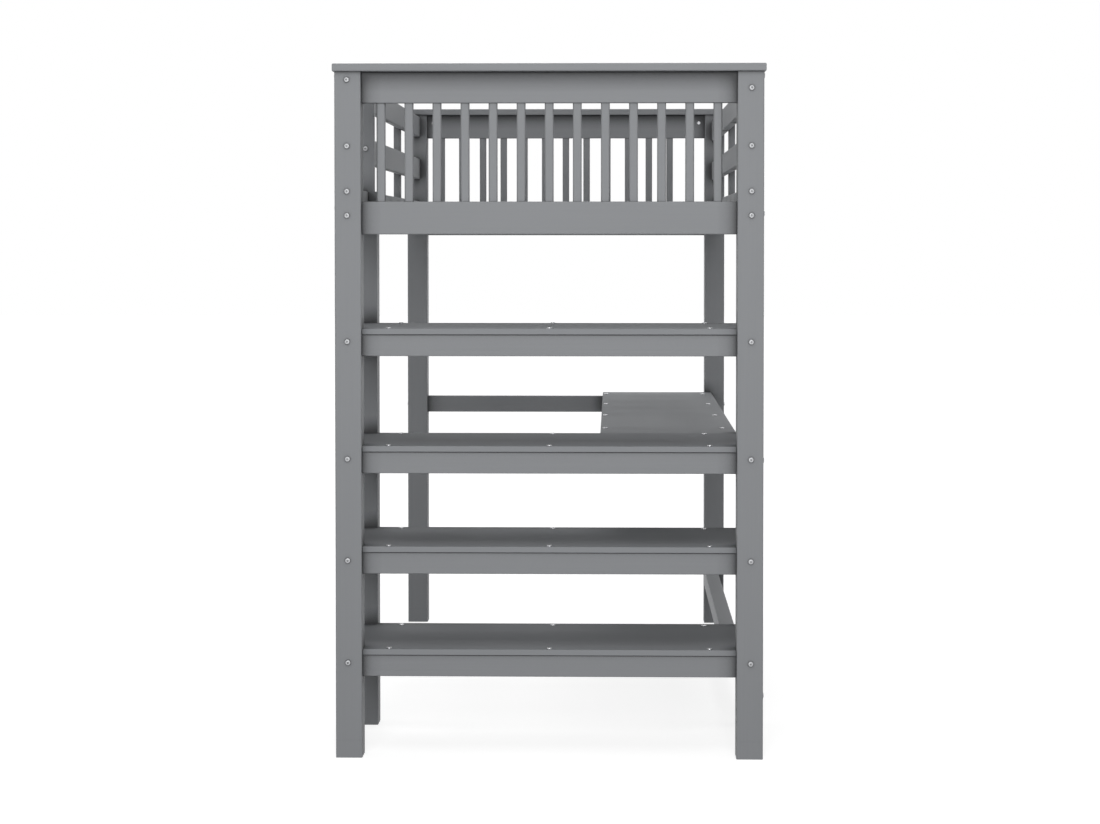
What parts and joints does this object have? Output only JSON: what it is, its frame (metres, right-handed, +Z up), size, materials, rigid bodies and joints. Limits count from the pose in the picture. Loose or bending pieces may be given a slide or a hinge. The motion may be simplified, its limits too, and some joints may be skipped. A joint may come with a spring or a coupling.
{
  "type": "loft bed",
  "caption": "Painted wooden loft bed: raised bed frame with spindle ends and guard boards, over open shelves at the foot end and a long desk along one side.",
  "frame": {"origin": "on the floor, under the middle of the bed", "axes": "+Z up; +Y from the shelf end to the other end; +X towards the desk side"},
  "size_m": [1.077, 2.031, 1.733],
  "materials": {
    "painted_posts": "softwood, planed and sprayed with satin grey paint",
    "painted_rails": "softwood, planed and sprayed with satin grey paint",
    "painted_boards": "board, sprayed with satin grey paint",
    "painted_slats": "softwood slats under a thin satin grey coat",
    "fastener_steel": "zinc-plated bolt, nut and screw heads"
  },
  "bodies": {
    "root": {"cap_foot": "painted_posts", "cap_head": "painted_posts", "desk_rail_inner": "painted_rails", "desk_rail_outer": "painted_rails", "desk_stretcher_head": "painted_rails", "desk_top": "painted_boards", "end_top_rail_foot": "painted_rails", "end_top_rail_head": "painted_rails", "guard_batten_left_1": "painted_rails", "guard_batten_left_2": "painted_rails", "guard_batten_right_1": "painted_rails", "guard_batten_right_2": "painted_rails", "guard_left_lower": "painted_rails", "guard_left_upper": "painted_rails", "guard_right_lower": "painted_rails", "guard_right_upper": "painted_rails", "guard_stile_entry": "painted_posts", "ledger_left_foot": "painted_slats", "ledger_left_head": "painted_slats", "ledger_right": "painted_slats", "low_stretcher": "painted_posts", "post_entry": "painted_posts", "post_foot_left": "painted_posts", "post_foot_right": "painted_posts", "post_head_left": "painted_posts", "post_head_right": "painted_posts", "post_shelf": "painted_posts", "shelf_1_back_rail": "painted_rails", "shelf_1_bearer_left": "painted_rails", "shelf_1_bearer_right": "painted_rails", "shelf_1_board": "painted_boards", "shelf_1_front_rail": "painted_rails", "shelf_2_back_rail": "painted_rails", "shelf_2_bearer_left": "painted_rails", "shelf_2_bearer_right": "painted_rails", "shelf_2_board": "painted_boards", "shelf_2_front_rail": "painted_rails", "shelf_3_back_rail": "painted_rails", "shelf_3_bearer_left": "painted_rails", "shelf_3_bearer_right": "painted_rails", "shelf_3_board": "painted_boards", "shelf_3_front_rail": "painted_rails", "shelf_4_back_rail": "painted_rails", "shelf_4_bearer_left": "painted_rails", "shelf_4_bearer_right": "painted_rails", "shelf_4_board": "painted_boards", "shelf_4_front_rail": "painted_rails", "side_rail_left": "painted_rails", "side_rail_right": "painted_rails", "slat_foot_1": "painted_slats", "slat_foot_2": "painted_slats", "slat_head_1": "painted_slats", "slat_head_2": "painted_slats", "slat_head_3": "painted_slats", "slat_head_4": "painted_slats", "slat_head_5": "painted_slats", "slat_head_6": "painted_slats", "slat_head_7": "painted_slats", "spindle_panel_foot": "painted_rails", "spindle_panel_head": "painted_rails"}
  },
  "joints": []
}
